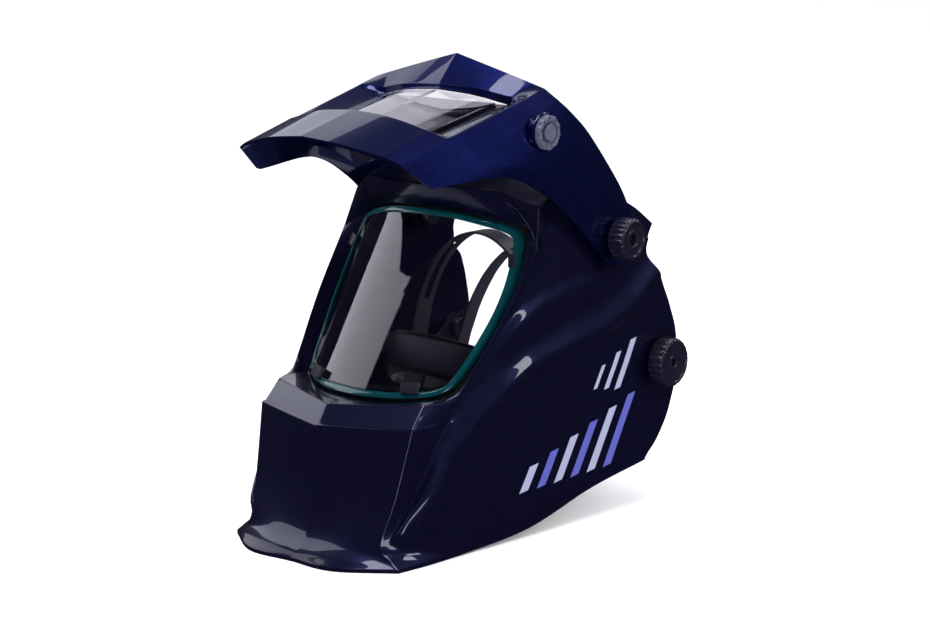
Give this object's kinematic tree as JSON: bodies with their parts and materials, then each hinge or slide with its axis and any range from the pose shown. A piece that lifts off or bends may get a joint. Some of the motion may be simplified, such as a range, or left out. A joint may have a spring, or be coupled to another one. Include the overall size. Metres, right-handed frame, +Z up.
{
  "type": "flip-front welding helmet",
  "caption": "Hard navy welding helmet with a dark-filter visor that flips up, a clear grinding window and an adjustable ratchet headgear.",
  "frame": {"origin": "on the ground under the middle of the bounding box, with the flip visor open and the helmet standing on its chin lip and nape cradle", "axes": "+Z up, -Y the way the wearer looks, +X the wearer's left"},
  "size_m": [0.258, 0.3675, 0.3675],
  "materials": {
    "navy_shell": "gloss",
    "blue_visor": "gloss metallic",
    "teal_rim": "gloss",
    "clear_panes": "polished",
    "dark_glass": "polished",
    "black_hardware": "satin",
    "rubber_trim": "matte",
    "padding": "matte",
    "strap_plastic": "satin",
    "grey_dial": "satin",
    "steel": "satin"
  },
  "bodies": {
    "helmet": {"base_shell": "navy_shell", "visor_rim": "teal_rim", "clear_visor": "clear_panes", "window_gasket": "rubber_trim", "lower_clip_left": "black_hardware", "lower_clip_right": "black_hardware", "upper_clip_left": "black_hardware", "upper_clip_right": "black_hardware", "flip_washer_left": "rubber_trim", "flip_washer_right": "rubber_trim", "flip_bolt_left": "steel", "flip_bolt_right": "steel"},
    "flip_visor": {"flip_visor_shell": "blue_visor", "cover_lens": "dark_glass", "shade_filter": "dark_glass", "cassette_frame": "black_hardware", "filter_retainer": "rubber_trim", "inner_cover_lens": "clear_panes", "control_module": "black_hardware", "catch_bracket": "black_hardware"},
    "dial": {"shade_dial": "grey_dial"},
    "button": {"dial_button": "grey_dial"},
    "catch": {"catch_knob": "black_hardware"},
    "flip_knob_l": {"flip_knob_left": "black_hardware"},
    "flip_knob_r": {"flip_knob_right": "black_hardware"},
    "headgear": {"front_headband": "strap_plastic", "sweatband": "padding", "crown_strap_front": "strap_plastic", "side_arm_left": "black_hardware", "side_arm_right": "black_hardware", "temple_pad_left": "padding", "temple_pad_right": "padding", "gear_bolt_left": "steel", "gear_bolt_right": "steel", "gear_washer_left": "rubber_trim", "gear_washer_right": "rubber_trim"},
    "gear_knob_l": {"gear_knob_left": "black_hardware"},
    "gear_knob_r": {"gear_knob_right": "black_hardware"},
    "cradle": {"rear_band_left": "strap_plastic", "rear_band_right": "strap_plastic", "crown_strap_rear": "strap_plastic", "ratchet_housing": "black_hardware", "nape_cradle": "black_hardware", "nape_cushion": "padding"},
    "ratchet": {"ratchet_knob": "black_hardware", "ratchet_pinion": "steel"}
  },
  "joints": [
    {"name": "visor_flip", "type": "hinge", "parent": "helmet", "child": "flip_visor", "pos_m": [0, 0.0755, 0.2245], "axis": [1, 0, 0], "range_deg": [0, 49.5]},
    {"name": "shade_dial_turn", "type": "hinge", "parent": "flip_visor", "child": "dial", "pos_m": [0.104, -0.00575, 0.31424], "axis": [1, 0, 0], "range_deg": [-120, 120]},
    {"name": "dial_button_press", "type": "slide", "parent": "flip_visor", "child": "button", "axis": [-1, 0, 0], "range_m": [0, 0.0015], "stiffness_N_per_m": 400},
    {"name": "catch_turn", "type": "hinge", "parent": "flip_visor", "child": "catch", "pos_m": [0.026, -0.13241, 0.31257], "axis": [0, 0.6494, -0.7604], "range_deg": [0, 90]},
    {"name": "flip_knob_left_turn", "type": "hinge", "parent": "helmet", "child": "flip_knob_l", "pos_m": [0.118, 0.0755, 0.2245], "axis": [1, 0, 0], "range_deg": [-180, 180]},
    {"name": "flip_knob_right_turn", "type": "hinge", "parent": "helmet", "child": "flip_knob_r", "pos_m": [-0.118, 0.0755, 0.2245], "axis": [1, 0, 0], "range_deg": [-180, 180]},
    {"name": "headgear_tilt", "type": "hinge", "parent": "helmet", "child": "headgear", "pos_m": [0, 0.1315, 0.118], "axis": [1, 0, 0], "range_deg": [-26, 5]},
    {"name": "gear_knob_left_turn", "type": "hinge", "parent": "headgear", "child": "gear_knob_l", "pos_m": [0.12, 0.1315, 0.118], "axis": [1, 0, 0], "range_deg": [-180, 180]},
    {"name": "gear_knob_right_turn", "type": "hinge", "parent": "headgear", "child": "gear_knob_r", "pos_m": [-0.12, 0.1315, 0.118], "axis": [1, 0, 0], "range_deg": [-180, 180]},
    {"name": "cradle_slide", "type": "slide", "parent": "headgear", "child": "cradle", "axis": [0, 1, 0], "range_m": [-0.004, 0.01]},
    {"name": "ratchet_turn", "type": "hinge", "parent": "cradle", "child": "ratchet", "pos_m": [0, 0.1775, 0.044], "axis": [0, 1, 0], "range_deg": [-58, 144]}
  ],
  "couplings": [
    {"joint": "ratchet_turn", "follows": "cradle_slide", "rad_per_m": 250}
  ]
}
